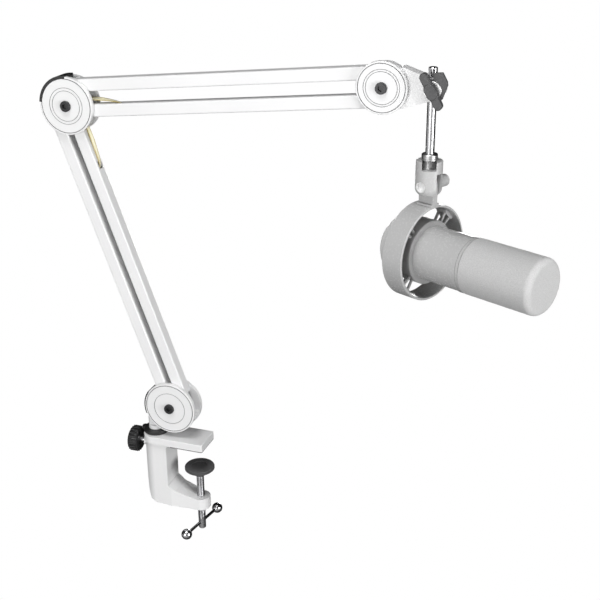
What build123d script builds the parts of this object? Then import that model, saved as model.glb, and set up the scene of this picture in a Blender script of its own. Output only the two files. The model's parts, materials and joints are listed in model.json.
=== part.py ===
from build123d import *
import math
import os

# Broadcast microphone hung from a parallel-bar desk boom arm.
# Millimetres, +Z up. The origin is where the clamp screw's axis meets the underside of the upper jaw's pad.
# +X runs from the clamp towards the microphone, +Y runs across the arm towards its rear side.

# ---- driving dimensions -----------------------------------------------------------------------------
running_gap = 0.05      # radial clearance of every pin, screw or post that turns or slides in a hole
face_gap = 0.5          # gap between flat faces that slide past each other

# desk clamp
jaw_overhang = 13.6     # from the screw's axis to the jaw's free end
jaw_reach = 40.0        # from the screw's axis to the inner face of the column
jaw_width = 41.0
jaw_thickness = 9.8
jaw_pad_thickness = 1.2
jaw_corner = 2.0
column_width = 34.0
column_depth = 35.0
column_round = 16.0     # radius of the column's rounded back
throat_height = 67.5    # from the upper pad's face to the top of the lower arm
lower_arm_drop = 11.0   # how far the lower arm slopes down to the screw boss
boss_radius = 12.7
boss_height = 16.0
spindle_radius = 5.0
spindle_length = 97.0   # below the pressure pad's top face
pad_radius = 19.8
pad_thickness = 5.0
pad_cone_height = 8.0
pad_recess_radius = 10.4
pad_socket_depth = 9.8  # how deep the screw's end sits in the pressure pad's neck
pad_neck_radius = 8.0
jaw_opening = 32.2      # from the upper pad's face to the pressure pad's face, as set at rest
tommy_radius = 2.0
tommy_rise = 9.7        # cross hole above the screw's lower end
tommy_span = 72.7       # between the centres of the two balls
tommy_ball_radius = 7.2
tommy_angle = 79.0      # degrees from +X, as it happens to stand

# swivel post and its lock
post_setback = 20.4     # its axis behind the column's inner face
post_radius = 9.6
spigot_radius = 8.0
collar_radius = 16.0
collar_height = 5.5
collar_ear = 4.0
bush_wall = 2.5
bush_depth = 46.0
lock_drop = 17.8        # the lock screw's axis below the jaw's top
lock_screw_radius = 4.0
lock_boss_radius = 6.5
lock_boss_length = 2.5
lock_reach = 9.5        # the knob's face behind the column
knob_radius = 17.2
knob_width = 13.0
knob_flutes = 22

# arm
bar_size = 15.0         # square tube
bar_wall = 1.3
bar_corner = 1.6
bar_side_gap = 0.5      # between a bar and the plate beside it
plate_thickness = 2.5
cover_thickness = 2.6
pin_radius = 2.5
eye_radius = 5.2
end_setback = 12.0      # from a pin to the end of its tube
lower_length = 393.5    # between pins
lower_lean = 19.23      # degrees from upright, leaning towards -X
lower_spread = 24.7     # between the two bars' pins, side by side
upper_length = 376.1
upper_rise = 5.64       # degrees above level
upper_spread = 31.0     # between the two bars' pins, one above the other
spring_radius = 4.6
spring_wire = 1.0
strap_width = 7.0
strap_thickness = 0.8
lower_strap_entry = 69.0            # where each strap goes into its bar, from the elbow's pin
upper_strap_entry = 52.0
strap_slot_length = 9.0

# joint hubs
base_radius = 35.0
base_forward = 27.2                 # base hub's centre ahead of the post
base_clearance = 2.5                # base hub's rim above the swivel collar
base_pins = (6.5, 8.0)              # middle of the base hub's two pins, from its centre
elbow_radius = 35.0
elbow_lower_pins = (-9.3, -10.0)    # middle of the lower arm's pins, from the elbow's centre
elbow_upper_pins = (14.0, 8.95)     # middle of the upper arm's pins, from the elbow's centre
head_radius = 29.0
head_rear_radius = 25.5
bolt_radius = 4.0
bolt_head_radius = 6.5
bolt_head_height = 3.2
bolt_socket = 3.45                  # hexagon's corners from its middle
nut_corner = 7.5
nut_height = 5.5
wall_thickness = 3.5                # dust wall between the plates
wall_proud = 1.2                    # how far it stands out past them
wall_setback = 0.5                  # its front edge behind the front cover's face
walls = {                           # start, end and lip's end in degrees from +X, cut into the rim
    "base": (146, 190, 200, 0.6),
    "elbow": (88, 175, 175, 2.5),
}
rim_groove = (2.9, 1.0, 1.4)        # place in from the rim, width, depth
face_groove = (0.7, 0.9)            # width, depth

# head bracket and rod clamp
clamp_offset = (55.5, 0.6)          # rod clamp's axis from the head hub's centre
clamp_boss_radius = 12.0
eye_bolt_radius = 7.5
eye_stud_radius = 3.0
washer_radius = 10.0
wing_length = 43.0
wing_width = 9.2
wing_tilt = -61.0                   # degrees from +X
rod_radius = 5.0
rod_offset = -2.5                   # rod's axis from the rod clamp's axis
rod_top = 23.4                      # above the head hub's centre
rod_collar_radius = 9.0
rod_collar_height = 7.1
rod_collar_drop = 70.8              # top of the collar below the head hub's centre
rod_seat_gap = 0.2                  # between the collar and the microphone's adapter
mic_thread_radius = 7.94            # five eighths of an inch across
mic_thread_length = 9.3

# microphone mount
adapter_radius = 15.0
adapter_height = 40.0
adapter_pivot_drop = 28.5           # pivot below the adapter's top
socket_turn = 12.2                  # its open front, in degrees from -Y towards +X
tongue_thickness = 8.0
tongue_width = 20.0
pivot_radius = 3.0
pivot_screw_grip = 6.9              # how far the screw goes into its knob
pivot_head_radius = 6.2
pivot_head_rim = 1.0                # wall round its hexagon
pivot_head_height = 3.6
pivot_head_sink = 4.5               # its seat inside the adapter's surface
pivot_knob_radius = 7.0
pivot_knob_length = 17.0

# microphone
mic_yaw = -26.5                     # degrees the microphone points away from +X
ring_drop = 22.4                    # ring's outer face below the pivot
mic_set_back = 3.9                  # ring's middle behind the pivot
ring_radius = 55.4
ring_wall = 2.6
ring_width = 28.4
cradle_wall = 5.8
cradle_width = 22.0
strut_radius = 1.7
strut_angles = (45, 135, 225, 315)
body_radius = 31.2
body_wall = 2.4
body_back = 22.0                    # rear end of the body behind the ring's middle
body_front = 66.0
cap_length = 17.0
cap_lip = 1.4                       # each of these stands out this far from the body
trim_lip = 0.6
foam_lip = 0.8
trim_length = 6.6
trim_step = 3.0                     # where the trim's second, smaller ring starts
foam_gap = 0.3
foam_length = 90.9
foam_round = 7.4
foam_wall = 6.0
basket_wall = 1.0
capsule_radius = 17.0
capsule_length = 9.0
capsule_setback = 14.0              # its face behind the inside of the foam's end
button_place = 47.0                 # touch button ahead of the ring's middle
button_size = (20.0, 11.0)
socket_radius = 11.6                # cable connector's shell
socket_depth = 15.0
gain_drop = 21.0                    # gain knob below the body's axis
gain_radius = 4.5
gain_shaft_radius = 2.0

# ---- worked-out places --------------------------------------------------------------------------------
plate_in = bar_size / 2 + bar_side_gap
plate_out = plate_in + plate_thickness
cover_out = plate_out + cover_thickness
column_left = -jaw_reach - column_depth
jaw_top = jaw_pad_thickness + jaw_thickness
lock_face = column_left - lock_boss_length
post_x = -jaw_reach - post_setback
bush_radius = spigot_radius + bush_wall
lock_z = jaw_top - lock_drop
collar_top = jaw_top + collar_height
boss_top = -throat_height - lower_arm_drop
boss_bottom = boss_top - boss_height
base_hub = (post_x + base_forward, collar_top + base_clearance + base_radius)
elbow_hub = (
    base_hub[0] + base_pins[0] - lower_length * math.sin(math.radians(lower_lean)) - elbow_lower_pins[0],
    base_hub[1] + base_pins[1] + lower_length * math.cos(math.radians(lower_lean)) - elbow_lower_pins[1],
)
head_hub = (
    elbow_hub[0] + elbow_upper_pins[0] + upper_length * math.cos(math.radians(upper_rise)),
    elbow_hub[1] + elbow_upper_pins[1] + upper_length * math.sin(math.radians(upper_rise)),
)
clamp_axis = (head_hub[0] + clamp_offset[0], head_hub[1] + clamp_offset[1])
rod_x = clamp_axis[0] + rod_offset
rod_collar_top = head_hub[1] - rod_collar_drop
adapter_top = rod_collar_top - rod_collar_height - rod_seat_gap
pivot_z = adapter_top - adapter_pivot_drop
pivot_seat = adapter_radius - pivot_head_sink
knob_recess = pivot_knob_radius + 0.3
knob_seat = math.sqrt(adapter_radius**2 - knob_recess**2)
mic_drop = ring_radius + ring_drop
mic_way = Vector(math.cos(math.radians(mic_yaw)), math.sin(math.radians(mic_yaw)), 0)
mic_side = Vector(-mic_way.Y, mic_way.X, 0)
ring_middle = Vector(rod_x, 0, pivot_z - mic_drop) - mic_way * mic_set_back
mic_plane = Plane(origin=ring_middle, x_dir=mic_side, z_dir=mic_way)
ring_inner = ring_radius - ring_wall
cradle_radius = body_radius + cradle_wall
body_middle = 0.5 * (body_front - body_back)
cap_back = -body_back - cap_length
cap_radius = body_radius + cap_lip
trim_radius = body_radius + trim_lip
foam_radius = body_radius + foam_lip
foam_start = body_front + trim_length + foam_gap
foam_end = foam_start + foam_length
basket_inner = foam_radius - foam_wall - basket_wall - 0.1


# ---- small building blocks ----------------------------------------------------------------------------
def cylinder(start, end, radius):
    """A round bar between two points."""
    start = Vector(*start)
    way = Vector(*end) - start
    return Plane(origin=start, z_dir=way) * Cylinder(
        radius, way.length, align=(Align.CENTER, Align.CENTER, Align.MIN)
    )


def across(place, y_low, y_high, radius):
    """A round bar along Y at an (x, z) place."""
    return cylinder((place[0], y_low, place[1]), (place[0], y_high, place[1]), radius)


def block(x_low, x_high, y_low, y_high, z_low, z_high):
    """A box between two corners."""
    middle = ((x_low + x_high) / 2, (y_low + y_high) / 2, (z_low + z_high) / 2)
    return Pos(*middle) * Box(x_high - x_low, y_high - y_low, z_high - z_low)


def plate(points, y_low, y_high):
    """A flat shape drawn in X and Z, as thick as y_low to y_high."""
    outline = Polyline(*[(x, y_low, z) for x, z in points], close=True)
    return extrude(make_face(outline), amount=y_high - y_low, dir=(0, 1, 0))


def turned(points, plane):
    """A profile of (radius, height) points turned about a plane's Z axis."""
    face = make_face(Polyline(*[(radius, 0, height) for radius, height in points], close=True))
    return plane * revolve(face, axis=Axis.Z)


def mic_tube(outer, inner, back, front):
    """A tube on the microphone's axis."""
    tube = Cylinder(outer, front - back, align=(Align.CENTER, Align.CENTER, Align.MIN))
    if inner:
        tube -= Cylinder(inner, front - back, align=(Align.CENTER, Align.CENTER, Align.MIN))
    return mic_plane * Pos(0, 0, back) * tube


def group(shapes):
    """Separate solids kept together in one node."""
    solids = []
    for shape in shapes:
        solids.extend(shape.solids())
    return Compound(children=solids)


def shift(place, by):
    return (place[0] + by[0], place[1] + by[1])


def save(name, shape):
    export_step(shape, f"parts/{name}.step")


# ---- pins of the four-bar linkages --------------------------------------------------------------------
half_lower = lower_spread / 2
half_upper = upper_spread / 2
base_left_pin = shift(base_hub, (base_pins[0] - half_lower, base_pins[1]))
base_right_pin = shift(base_hub, (base_pins[0] + half_lower, base_pins[1]))
elbow_left_pin = shift(elbow_hub, (elbow_lower_pins[0] - half_lower, elbow_lower_pins[1]))
elbow_right_pin = shift(elbow_hub, (elbow_lower_pins[0] + half_lower, elbow_lower_pins[1]))
elbow_top_pin = shift(elbow_hub, (elbow_upper_pins[0], elbow_upper_pins[1] + half_upper))
elbow_bottom_pin = shift(elbow_hub, (elbow_upper_pins[0], elbow_upper_pins[1] - half_upper))
head_top_pin = shift(head_hub, (0, half_upper))
head_bottom_pin = shift(head_hub, (0, -half_upper))


# ---- desk clamp -----------------------------------------------------------------------------------------
def clamp_frame():
    side = plate(
        [
            (column_left, jaw_top),
            (column_left, -throat_height * 0.3),
            (column_left + 1.5, -throat_height * 0.75),
            (column_left + 4.5, -throat_height - 9),
            (column_left + 9, -throat_height - 20),
            (column_left + 18, -throat_height - 24),
            (0, boss_bottom),
            (0, boss_top),
            (-jaw_reach + 10, -throat_height - 2),
            (-jaw_reach, -throat_height + 6),
            (-jaw_reach, jaw_pad_thickness - 5),
            (-jaw_reach + 6, jaw_pad_thickness),
            (-jaw_reach + 6, jaw_top),
        ],
        -column_width / 2,
        column_width / 2,
    )
    taper = Polyline(
        (column_left, -column_width / 2, boss_bottom - 2),
        (-jaw_reach + 4, -column_width / 2, boss_bottom - 2),
        (0, -boss_radius, boss_bottom - 2),
        (0, boss_radius, boss_bottom - 2),
        (-jaw_reach + 4, column_width / 2, boss_bottom - 2),
        (column_left, column_width / 2, boss_bottom - 2),
        close=True,
    )
    plan = make_face(taper)
    plan = fillet(plan.vertices().sort_by(Axis.X)[:2], column_round)
    body = side & extrude(plan, amount=jaw_top - boss_bottom + 4, dir=(0, 0, 1))
    body += cylinder((0, 0, boss_bottom), (0, 0, boss_top), boss_radius)
    jaw = block(column_left, jaw_overhang, -jaw_width / 2, jaw_width / 2, jaw_pad_thickness, jaw_top)
    jaw = fillet(jaw.edges().filter_by(Axis.Z).sort_by(Axis.X)[:2], column_round)
    jaw = fillet(jaw.edges().filter_by(Axis.Z).sort_by(Axis.X)[-2:], jaw_corner)
    jaw = fillet(jaw.edges().group_by(Axis.Z)[-1], 0.8)
    body += jaw
    body += cylinder((lock_face, 0, lock_z), (column_left + 2, 0, lock_z), lock_boss_radius)
    bore = spindle_radius + running_gap
    body -= cylinder((0, 0, boss_bottom - 1), (0, 0, boss_top + lower_arm_drop), bore)
    body -= cylinder((post_x, 0, jaw_top - bush_depth), (post_x, 0, jaw_top + 1), bush_radius)
    body -= cylinder((lock_face - 1, 0, lock_z), (post_x, 0, lock_z), lock_screw_radius + running_gap)
    return body


def jaw_pad():
    half = jaw_width / 2 - 0.2
    pad = block(-jaw_reach + 7, jaw_overhang - 0.2, -half, half, 0, jaw_pad_thickness)
    return fillet(pad.edges().filter_by(Axis.Z), jaw_corner)


def socket_collar():
    bush = cylinder((post_x, 0, jaw_top - bush_depth), (post_x, 0, jaw_top), bush_radius)
    flange = cylinder((post_x, 0, jaw_top), (post_x, 0, collar_top), collar_radius)
    flange = fillet(flange.edges().sort_by(Axis.Z)[-1:], 1.2)
    ear_end = post_x - collar_radius - collar_ear
    ear = block(ear_end, post_x, -collar_ear, collar_ear, jaw_top, collar_top - 1)
    ear = fillet(ear.edges().filter_by(Axis.Z).sort_by(Axis.X)[:2], collar_ear - 0.5)
    body = bush + flange + ear
    body -= cylinder(
        (post_x, 0, jaw_top - bush_depth - 1),
        (post_x, 0, collar_top + 1),
        spigot_radius + running_gap,
    )
    hole = cylinder((column_left, 0, lock_z), (post_x, 0, lock_z), lock_screw_radius + running_gap)
    return body - hole


def lock_parts():
    face = column_left - lock_reach
    knob = cylinder((face - knob_width, 0, lock_z), (face, 0, lock_z), knob_radius)
    knob = fillet(knob.edges(), 1.5)
    for index in range(knob_flutes):
        turn = math.radians(360 * index / knob_flutes)
        y = (knob_radius + 0.6) * math.cos(turn)
        z = lock_z + (knob_radius + 0.6) * math.sin(turn)
        knob -= cylinder((face - knob_width - 1, y, z), (face + 1, y, z), 1.5)
    rim = face - knob_width
    dish = cylinder((rim - 1, 0, lock_z), (rim + 1.5, 0, lock_z), knob_radius - 6)
    knob -= dish
    screw_end = post_x - spigot_radius - 0.3
    screw = cylinder((face - knob_width + 3, 0, lock_z), (screw_end, 0, lock_z), lock_screw_radius)
    return knob - screw, screw


def pressure_pad():
    top = -jaw_opening - jaw_pad_thickness
    low = top - (pad_thickness - jaw_pad_thickness)
    pad = turned(
        [
            (0, top),
            (pad_radius, top),
            (pad_radius, low + 1),
            (pad_radius - 1, low),
            (pad_neck_radius + 5, low),
            (pad_neck_radius, low - pad_cone_height),
            (0, low - pad_cone_height),
        ],
        Plane.XY,
    )
    neck = low - pad_cone_height
    socket = cylinder((0, 0, neck - 1), (0, 0, neck + pad_socket_depth), spindle_radius + running_gap)
    return pad - socket


def pad_facing():
    top = -jaw_opening
    face = cylinder((0, 0, top - jaw_pad_thickness), (0, 0, top), pad_radius - 0.8)
    return face - cylinder((0, 0, top - 0.5), (0, 0, top + 1), pad_recess_radius)


def tommy_way():
    turn = math.radians(tommy_angle)
    return Vector(math.cos(turn), math.sin(turn), 0)


def spindle_bottom():
    return -jaw_opening - spindle_length


def clamp_spindle():
    neck = -jaw_opening - pad_thickness - pad_cone_height
    top = neck + pad_socket_depth - 0.3
    screw = cylinder((0, 0, spindle_bottom()), (0, 0, top), spindle_radius)
    screw = chamfer(screw.edges().sort_by(Axis.Z)[:1], 0.8)
    middle = Vector(0, 0, spindle_bottom() + tommy_rise)
    way = tommy_way() * 2 * spindle_radius
    return screw - cylinder(middle - way, middle + way, tommy_radius + running_gap)


def tommy_bar():
    middle = Vector(0, 0, spindle_bottom() + tommy_rise)
    half = tommy_way() * (tommy_span / 2)
    inner = tommy_way() * (tommy_span / 2 - tommy_ball_radius + 2)
    bar = cylinder(middle - inner, middle + inner, tommy_radius)
    balls = [Pos(*(middle + half * side)) * Sphere(tommy_ball_radius) - bar for side in (-1, 1)]
    return group([bar] + balls)


# ---- hub pieces shared by the base, elbow and head ----------------------------------------------------
def hub_plates(hub, front_radius, rear_radius, pins):
    plates = []
    for low, high, radius in ((-plate_out, -plate_in, front_radius), (plate_in, plate_out, rear_radius)):
        disc = across(hub, low, high, radius)
        disc -= across(hub, low - 1, high + 1, bolt_radius)
        for pin in pins:
            disc -= across(pin, low - 1, high + 1, pin_radius)
        plates.append(disc)
    return group(plates)


def ring_groove(hub, face, inner, width, depth, side):
    """A turned groove in a cover's outer face."""
    low, high = sorted((face + side, face - side * depth))
    return across(hub, low, high, inner + width) - across(hub, low, high, inner)


def hub_covers(hub, front_radius, rear_radius, grooves):
    covers = []
    for side, radius in ((-1, front_radius), (1, rear_radius)):
        low, high = sorted((side * plate_out, side * cover_out))
        disc = across(hub, low, high, radius)
        outer = disc.edges().filter_by(GeomType.CIRCLE).sort_by(Axis.Y)[0 if side < 0 else -1]
        disc = fillet([outer], 0.7)
        disc -= ring_groove(hub, side * cover_out, radius - rim_groove[0], *rim_groove[1:], side)
        for groove in grooves:
            disc -= ring_groove(hub, side * cover_out, groove, *face_groove, side)
        disc -= across(hub, low - 1, high + 1, bolt_radius)
        covers.append(disc)
    return group(covers)


def hub_bolt(hub):
    """Socket-head screw from the front with a nut behind."""
    screw = across(hub, -cover_out, cover_out + nut_height + 0.5, bolt_radius)
    head = across(hub, -cover_out - bolt_head_height, -cover_out, bolt_head_radius)
    head = fillet(head.edges().sort_by(Axis.Y)[:1], 0.6)
    plane = Plane(origin=(hub[0], -cover_out - bolt_head_height, hub[1]), z_dir=(0, 1, 0))
    hexagon = plane * extrude(RegularPolygon(bolt_socket, 6), amount=bolt_head_height - 0.6)
    nut_plane = Plane(origin=(hub[0], cover_out, hub[1]), z_dir=(0, 1, 0))
    nut = nut_plane * extrude(RegularPolygon(nut_corner, 6), amount=nut_height)
    nut -= across(hub, cover_out - 1, cover_out + nut_height + 1, bolt_radius)
    return group([screw + head - hexagon, nut])


def hub_pins(pins):
    return group([across(pin, -plate_out, plate_out, pin_radius) for pin in pins])


def wall_band(hub, low, high, inner, outer, start, end):
    """Part of a band round a hub, over an arc in degrees from +X."""
    band = across(hub, low, high, outer) - across(hub, low - 1, high + 1, inner)
    steps = 8
    fan = [hub]
    for index in range(steps + 1):
        turn = math.radians(start + (end - start) * index / steps)
        fan.append((hub[0] + 4 * outer * math.cos(turn), hub[1] + 4 * outer * math.sin(turn)))
    return band & plate(fan, low, high)


def dust_wall(hub, radius, start, end, lip_end, cut):
    """A curved wall between the plates, with a lip let into the front plate and cover."""
    outer = radius + wall_proud
    wall = wall_band(hub, -plate_in, plate_in, outer - wall_thickness, outer, start, end)
    return wall + wall_band(hub, -cover_out + wall_setback, -plate_in, radius - cut, outer, start, lip_end)


def clear_lip(discs, hub, radius, start, lip_end, cut):
    """Discs with room in their rims for the wall's lip, open to the front."""
    room = wall_band(hub, -cover_out - 1, -plate_in, radius - cut, radius + 5, start, lip_end)
    return group([disc - room for disc in discs.solids()])


# ---- base hub on its swivel post -----------------------------------------------------------------------
def base_bracket():
    half = plate_in
    web_radius = base_radius - 3
    web_top = base_hub[1] - bolt_radius - 3
    web = across(base_hub, -half, half, web_radius)
    web &= block(post_x, base_hub[0] + base_radius, -half, half, base_hub[1] - base_radius, web_top)
    shoulder = collar_top + 0.1
    post = cylinder((post_x, 0, shoulder), (post_x, 0, web_top), post_radius)
    flat_from = base_hub[1] - web_radius
    neck = cylinder((post_x, 0, shoulder), (post_x, 0, flat_from), post_radius)
    tang = post & block(post_x - post_radius, post_x + post_radius, -half, half, flat_from, web_top)
    spigot = cylinder((post_x, 0, jaw_top - bush_depth + 2), (post_x, 0, shoulder), spigot_radius)
    return web + neck + tang + spigot


# ---- bars ---------------------------------------------------------------------------------------------
def bar_plane(start, way):
    return Plane(origin=start, x_dir=(0, 1, 0), z_dir=way)


def bar_ends(start, end):
    first = Vector(start[0], 0, start[1])
    last = Vector(end[0], 0, end[1])
    way = (last - first).normalized()
    return first, last, way


def bar_tube(start, end, back_start, back_end, slot=None):
    """Square tube between two pins, each end cut back from its pin."""
    first, last, way = bar_ends(start, end)
    length = (last - first).length - back_start - back_end
    section = RectangleRounded(bar_size, bar_size, bar_corner)
    section -= Rectangle(bar_size - 2 * bar_wall, bar_size - 2 * bar_wall)
    plane = bar_plane(first + way * back_start, way)
    tube = plane * extrude(section, amount=length)
    if back_start < 0:
        tube -= across(start, -bar_size, bar_size, pin_radius + running_gap)
    if slot:
        place, side = slot
        cut = Pos(0, side * bar_size / 2, place) * Box(strap_width + 1, 2 * bar_wall + 1, strap_slot_length)
        tube -= plane * cut
    return tube


def end_fitting(pin, way, setback, layer):
    """A plug pushed in the tube, with an eye of its own layer round the pin."""
    low, high = layer
    root = Vector(pin[0], 0, pin[1])
    inner = bar_size - 2 * bar_wall
    eye = across(pin, low, high, eye_radius)
    reach = max(setback, 0) + 2
    tongue_plane = Plane(origin=root, x_dir=(0, 1, 0), z_dir=way)
    middle = (low + high) / 2
    tongue = tongue_plane * Pos(middle, 0, reach / 2) * Box(high - low, 2 * eye_radius, reach)
    plug_start = max(setback, eye_radius + 1.0)
    plug = tongue_plane * Pos(0, 0, plug_start + 6) * Box(inner, inner, 12)
    if plug_start > reach:
        length = plug_start - reach + 0.5
        tongue += tongue_plane * Pos(middle, 0, reach + length / 2 - 0.25) * Box(
            high - low, 2 * eye_radius, length
        )
    body = eye + tongue + plug
    return body - across(pin, low - 8, high + 8, pin_radius + running_gap)


front_layer = (-bar_size / 2 + bar_wall, -0.3)
rear_layer = (0.3, bar_size / 2 - bar_wall)


def bar_fittings(start, end, back_start, back_end, layer):
    way = bar_ends(start, end)[2]
    first = end_fitting(start, way, back_start, layer)
    second = end_fitting(end, way * -1, back_end, layer)
    return group([first, second])


def bar_spring(start, end, near, far):
    """The balance spring, drawn as its outer sleeve, inside the tube."""
    first, last, way = bar_ends(start, end)
    plane = bar_plane(first + way * near, way)
    coil = Cylinder(spring_radius, far - near, align=(Align.CENTER, Align.CENTER, Align.MIN))
    hollow = Cylinder(spring_radius - spring_wire, far - near, align=(Align.CENTER, Align.CENTER, Align.MIN))
    return plane * (coil - hollow)


def strap(start, end, places):
    """A thin band through (along the bar, out from its face) places."""
    first, last, way = bar_ends(start, end)
    out = Vector(-way.Z, 0, way.X)
    points = [first + way * along + out * (bar_size / 2 + off) for along, off in places]
    body = None
    for low, high in zip(points, points[1:]):
        step = high - low
        plane = Plane(origin=(low + high) * 0.5, x_dir=(0, 1, 0), z_dir=step)
        piece = plane * Box(strap_width, strap_thickness, step.length + 0.3)
        body = piece if body is None else body + piece
    return body


# ---- head bracket and rod clamp --------------------------------------------------------------------------
def bracket_arm():
    """The tapering arm from the head's plates to the boss that carries the rod clamp."""
    half = plate_in
    tip = across(clamp_axis, -half, half, clamp_boss_radius)
    web = plate(
        [
            shift(head_hub, (19.0, 21.5)),
            shift(head_hub, (22.0, 22.6)),
            shift(clamp_axis, (-3.0, clamp_boss_radius - 0.4)),
            shift(clamp_axis, (2.0, 0)),
            shift(clamp_axis, (-1.0, -clamp_boss_radius + 0.1)),
            shift(head_hub, (18.0, -23.3)),
            shift(head_hub, (16.5, -21.0)),
        ],
        -half,
        half,
    )
    body = web + tip
    body -= across(clamp_axis, -half - 1, half + 1, eye_bolt_radius + running_gap)
    slot = rod_radius + 0.8
    body -= block(
        rod_x - slot,
        rod_x + slot,
        -slot,
        slot,
        clamp_axis[1] - clamp_boss_radius - 6,
        clamp_axis[1] + clamp_boss_radius + 6,
    )
    return body


def bracket_tongue():
    """The part of the bracket held between the head's plates."""
    half = plate_in
    return plate(
        [
            shift(head_hub, (9.0, 16.0)),
            shift(head_hub, (20.0, 22.2)),
            shift(head_hub, (20.0, -22.0)),
            shift(head_hub, (9.0, -16.0)),
        ],
        -half,
        half,
    )


def head_bracket():
    body = bracket_arm() + bracket_tongue()
    for pin in (head_top_pin, head_bottom_pin):
        body -= across(pin, -20, 20, eye_radius + 1.5)
    return body


def eye_bolt():
    half = plate_in
    barrel = across(clamp_axis, -half + 0.1, half + 2.5, eye_bolt_radius)
    stud = across(clamp_axis, -half - 12, -half + 0.1, eye_stud_radius)
    hole = cylinder(
        (rod_x, 0, clamp_axis[1] - 12), (rod_x, 0, clamp_axis[1] + 12), rod_radius + running_gap
    )
    return barrel + stud - hole


def clamp_washer():
    half = plate_in
    disc = across(clamp_axis, -half - 5.0, -half, washer_radius)
    disc = fillet(disc.edges().filter_by(GeomType.CIRCLE).sort_by(Axis.Y)[:1], 0.8)
    return disc - across(clamp_axis, -half - 6, -half + 1, eye_stud_radius)


def clamp_jaw():
    half = plate_in
    low, high = -half - 4.2, -half - 0.05
    fan = plate(
        [
            shift(clamp_axis, (-7.0, 9.3)),
            shift(clamp_axis, (1.0, 12.5)),
            shift(clamp_axis, (1.3, 18.6)),
            shift(clamp_axis, (10.4, 19.4)),
            shift(clamp_axis, (15.6, 10.0)),
            shift(clamp_axis, (16.2, 6.0)),
            shift(clamp_axis, (10.8, -9.3)),
            shift(clamp_axis, (8.0, -10.2)),
            shift(clamp_axis, (4.5, -8.8)),
        ],
        low,
        high,
    )
    fan = fillet(fan.edges().filter_by(Axis.Y), 0.8)
    return fan - across(clamp_axis, low - 1, high + 1, washer_radius + 0.02)


def wing_nut():
    top = -plate_in - 5.3
    plane = Plane(origin=(clamp_axis[0], top, clamp_axis[1]), x_dir=(1, 0, 0), z_dir=(0, -1, 0))
    hub = Cylinder(6.2, 6, align=(Align.CENTER, Align.CENTER, Align.MIN))
    wings = Rot(0, 0, wing_tilt) * extrude(SlotOverall(wing_length, wing_width), amount=8)
    wings = fillet(wings.edges().group_by(Axis.Z)[-1], 1.2)
    cap = Rot(0, 0, wing_tilt) * extrude(SlotOverall(18, 12.2), amount=9)
    cap = fillet(cap.edges().group_by(Axis.Z)[-1], 1.2)
    body = plane * (wings + cap + hub)
    return body - across(clamp_axis, -plate_in - 12.4, 0, eye_stud_radius + running_gap)


# ---- hanging rod ---------------------------------------------------------------------------------------
def hanger_rod():
    top = head_hub[1] + rod_top
    low = rod_collar_top - rod_collar_height - mic_thread_length
    rod = cylinder((rod_x, 0, rod_collar_top), (rod_x, 0, top), rod_radius)
    rod = chamfer(rod.edges().sort_by(Axis.Z)[-1:], 0.7)
    thread = cylinder((rod_x, 0, low), (rod_x, 0, rod_collar_top), rod_radius)
    return rod + thread


def thread_collar():
    low = rod_collar_top - rod_collar_height
    collar = cylinder((rod_x, 0, low), (rod_x, 0, rod_collar_top), rod_collar_radius)
    collar = chamfer(collar.edges(), 0.6)
    thread = cylinder((rod_x, 0, low - mic_thread_length), (rod_x, 0, low + 0.1), mic_thread_radius)
    thread = chamfer(thread.edges().sort_by(Axis.Z)[:1], 0.8)
    return collar + thread - cylinder(
        (rod_x, 0, low - mic_thread_length - 1), (rod_x, 0, rod_collar_top + 1), rod_radius
    )


# ---- microphone mount -------------------------------------------------------------------------------------
def pivot_point(out):
    return Vector(rod_x, 0, pivot_z) + mic_side * out


def mount_plane(height):
    return Plane(origin=(rod_x, 0, height), x_dir=mic_side, z_dir=(0, 0, 1))


def mic_adapter():
    low = adapter_top - adapter_height
    body = cylinder((rod_x, 0, low), (rod_x, 0, adapter_top), adapter_radius)
    body = fillet(body.edges().sort_by(Axis.Z)[:1], 9)
    body = fillet(body.edges().sort_by(Axis.Z)[-1:], 1.2)
    depth = mic_thread_length + 1.0
    body -= cylinder(
        (rod_x, 0, adapter_top - depth), (rod_x, 0, adapter_top + 1), mic_thread_radius + running_gap
    )
    turn = math.radians(socket_turn)
    front = Plane(origin=(rod_x, 0, adapter_top - depth + 0.8), x_dir=(math.cos(turn), math.sin(turn), 0))
    corner = (Align.CENTER, Align.MAX, Align.MIN)
    body -= front * Box(2 * mic_thread_radius, adapter_radius + 1, depth, align=corner)
    half_slot = tongue_thickness / 2 + 0.1
    slot_top = pivot_z + tongue_width / 2 + 4
    slot = mount_plane((low + slot_top) / 2) * Box(
        2 * half_slot, 2 * adapter_radius + 2, slot_top - low + 2
    )
    body -= slot
    body -= cylinder(pivot_point(-adapter_radius - 1), pivot_point(adapter_radius + 1),
                     pivot_radius + running_gap)
    body -= cylinder(pivot_point(-adapter_radius - 1), pivot_point(-pivot_seat), pivot_head_radius + 0.4)
    body -= cylinder(pivot_point(knob_seat), pivot_point(adapter_radius + 1), knob_recess)
    return body


def pivot_screw():
    inner = -pivot_seat - 0.1
    outer = inner - pivot_head_height
    head = cylinder(pivot_point(outer), pivot_point(inner), pivot_head_radius)
    plane = Plane(origin=pivot_point(outer), x_dir=(0, 0, 1), z_dir=mic_side)
    hexagon = RegularPolygon(pivot_head_radius - pivot_head_rim, 6)
    head -= plane * extrude(hexagon, amount=pivot_head_height - 0.8)
    return head + cylinder(pivot_point(inner - 0.8), pivot_point(knob_seat + pivot_screw_grip), pivot_radius)


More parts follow.
